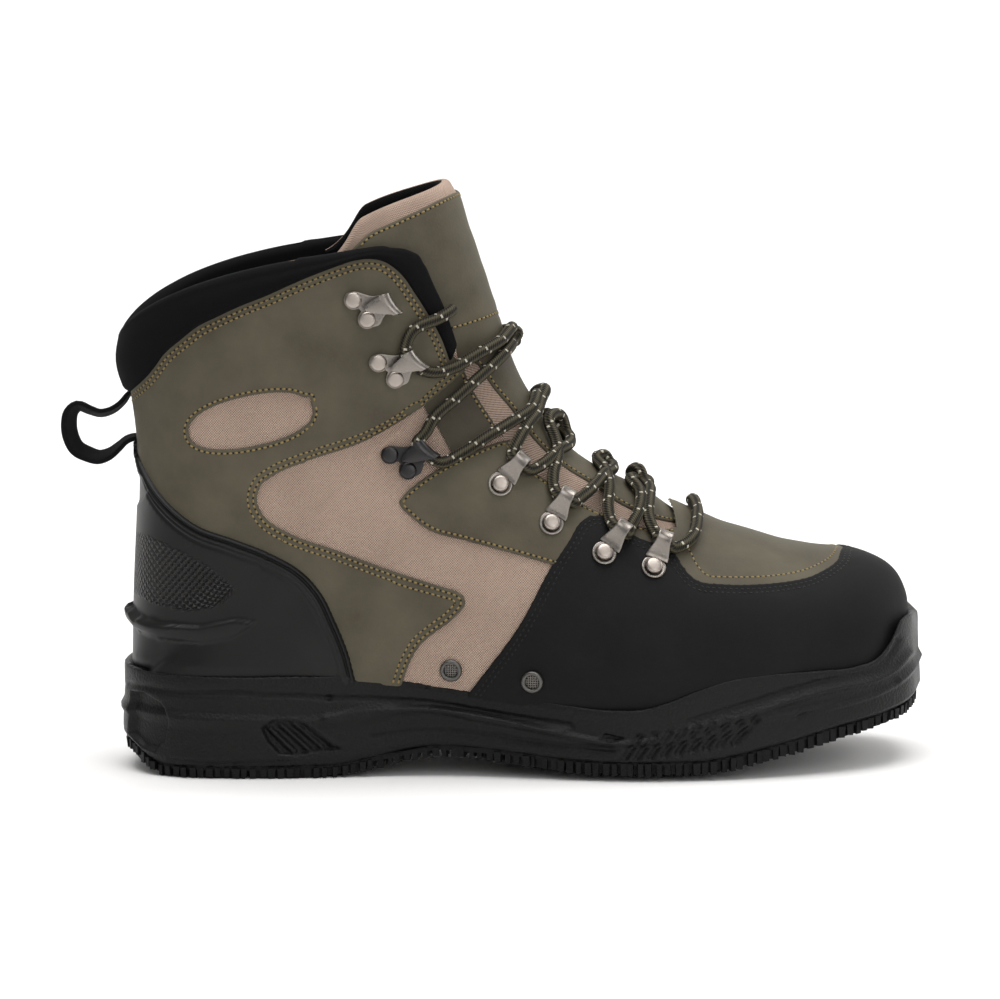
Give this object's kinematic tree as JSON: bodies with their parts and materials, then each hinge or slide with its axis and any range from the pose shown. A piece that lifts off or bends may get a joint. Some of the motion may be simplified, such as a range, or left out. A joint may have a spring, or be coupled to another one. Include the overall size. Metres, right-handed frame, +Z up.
{
  "type": "wading boot",
  "caption": "Right wading boot with lugged rubber sole, rubber toe and heel, leather and woven panels, padded cuff, metal lace hooks and a laced tongue.",
  "frame": {"origin": "middle of the flat that the heel stands on, on the floor", "axes": "+X to the toe, +Z up, -Y to the outer side of the foot"},
  "size_m": [0.3404, 0.1162, 0.2319],
  "materials": {
    "sole_rubber": "moulded, pebbled",
    "toe_rubber": "rubber coated, fine grain",
    "counter_rubber": "moulded, satin",
    "foam": "woven top cloth",
    "cuff_foam": "knitted face over foam",
    "woven_nylon": "coarse plain weave",
    "olive_leather": "matt, fine grain",
    "dark_leather": "matt, fine grain",
    "webbing": "woven strap",
    "lace": "round braid with white flecks",
    "steel": "brushed",
    "dark_metal": "blackened, worn at the edges",
    "rivet_metal": "stamped, satin"
  },
  "bodies": {
    "root": {"outsole": "sole_rubber", "midsole": "sole_rubber", "insole": "foam", "upper": "woven_nylon", "tongue": "olive_leather", "toe_cap": "toe_rubber", "heel_counter": "counter_rubber", "collar_cuff": "cuff_foam", "pull_loop": "webbing", "quarter_lateral": "olive_leather", "wing_lateral": "olive_leather", "eyestay_lateral": "dark_leather", "quarter_medial": "olive_leather", "wing_medial": "olive_leather", "eyestay_medial": "dark_leather", "hook_top_lateral": "steel", "rivet_hook_top_lateral_1": "rivet_metal", "rivet_hook_top_lateral_2": "rivet_metal", "hook_middle_lateral": "steel", "rivet_hook_middle_lateral_1": "rivet_metal", "rivet_hook_middle_lateral_2": "rivet_metal", "hook_low_lateral": "dark_metal", "rivet_hook_low_lateral_1": "rivet_metal", "rivet_hook_low_lateral_2": "rivet_metal", "loop_top_lateral": "steel", "rivet_loop_top_lateral_1": "rivet_metal", "loop_upper_lateral": "steel", "rivet_loop_upper_lateral_1": "rivet_metal", "loop_lower_lateral": "steel", "rivet_loop_lower_lateral_1": "rivet_metal", "loop_low_lateral": "steel", "rivet_loop_low_lateral_1": "rivet_metal", "vent_rear_lateral": "steel", "vent_front_lateral": "steel", "hook_top_medial": "steel", "rivet_hook_top_medial_1": "rivet_metal", "rivet_hook_top_medial_2": "rivet_metal", "hook_middle_medial": "steel", "rivet_hook_middle_medial_1": "rivet_metal", "rivet_hook_middle_medial_2": "rivet_metal", "hook_low_medial": "dark_metal", "rivet_hook_low_medial_1": "rivet_metal", "rivet_hook_low_medial_2": "rivet_metal", "loop_top_medial": "steel", "rivet_loop_top_medial_1": "rivet_metal", "loop_upper_medial": "steel", "rivet_loop_upper_medial_1": "rivet_metal", "loop_lower_medial": "steel", "rivet_loop_lower_medial_1": "rivet_metal", "loop_low_medial": "steel", "rivet_loop_low_medial_1": "rivet_metal", "vent_rear_medial": "steel", "vent_front_medial": "steel", "lace_cross_1": "lace", "lace_cross_2": "lace", "lace_cross_3": "lace", "lace_cross_4": "lace", "lace_cross_5": "lace", "lace_end_lateral": "lace", "lace_end_medial": "lace"}
  },
  "joints": []
}
